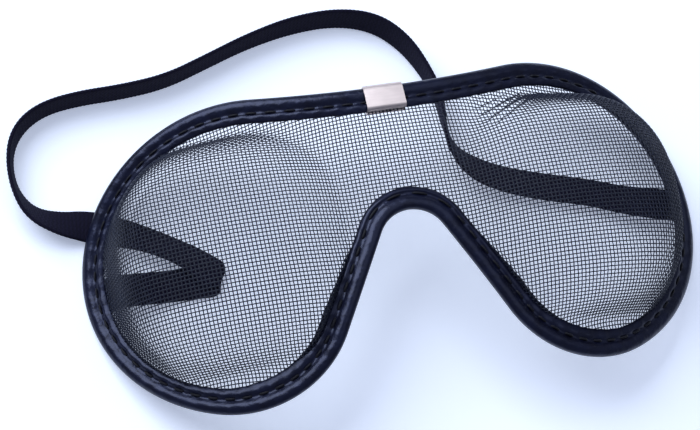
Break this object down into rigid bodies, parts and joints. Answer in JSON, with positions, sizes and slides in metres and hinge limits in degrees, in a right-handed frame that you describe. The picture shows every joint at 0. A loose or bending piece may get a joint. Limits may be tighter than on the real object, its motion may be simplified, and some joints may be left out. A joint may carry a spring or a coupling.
{
  "type": "mesh safety goggles",
  "caption": "Wire-mesh eye guard with two deep domes, a sewn vinyl edge binding, a metal joint clip and a flat elastic headband.",
  "frame": {"origin": "on the bench under the middle of the goggles, headband left out", "axes": "+Z out of the face, away from the wearer; +Y to the brow; +X to the wearer's left, right in the view from +Z"},
  "size_m": [0.1866, 0.1124, 0.0372],
  "materials": {
    "steel_mesh": "dark enamelled steel wire, woven",
    "vinyl": "glossy black vinyl leatherette",
    "thread": "twisted black thread",
    "nickel": "nickel plate, satin",
    "elastic": "ribbed woven elastic"
  },
  "bodies": {
    "root": {"mesh_screen": "steel_mesh", "edge_binding": "vinyl", "front_stitches": "thread", "back_stitches": "thread", "joint_clip": "nickel", "headband_strap": "elastic", "left_strap_stitches": "thread", "right_strap_stitches": "thread"}
  },
  "joints": []
}
